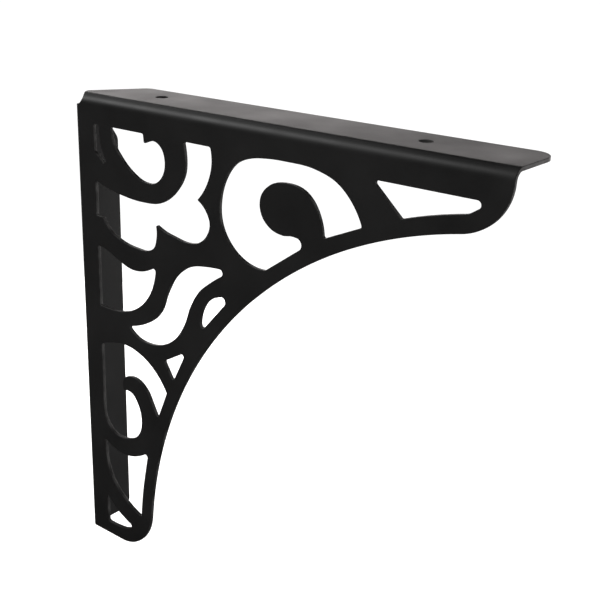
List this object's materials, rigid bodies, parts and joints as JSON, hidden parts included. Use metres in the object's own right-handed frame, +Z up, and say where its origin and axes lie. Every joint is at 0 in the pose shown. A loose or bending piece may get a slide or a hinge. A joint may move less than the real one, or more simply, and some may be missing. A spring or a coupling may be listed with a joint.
{
  "type": "shelf bracket",
  "caption": "Black L-shaped shelf bracket of folded sheet steel, with a web pierced in scrolls, a hollow curved edge, and flanges to screw to a wall and under a shelf.",
  "frame": {"origin": "on the wall flange's outer face, 12 mm behind the front of the web and half way up the bracket", "axes": "+X out from the wall along the shelf, +Y back from the front of the web, +Z up, towards the shelf"},
  "size_m": [0.2, 0.0288, 0.2],
  "materials": {
    "black_powder_coat": "matt powder coat with a fine grain"
  },
  "bodies": {
    "root": {"bracket": "black_powder_coat"}
  },
  "joints": []
}
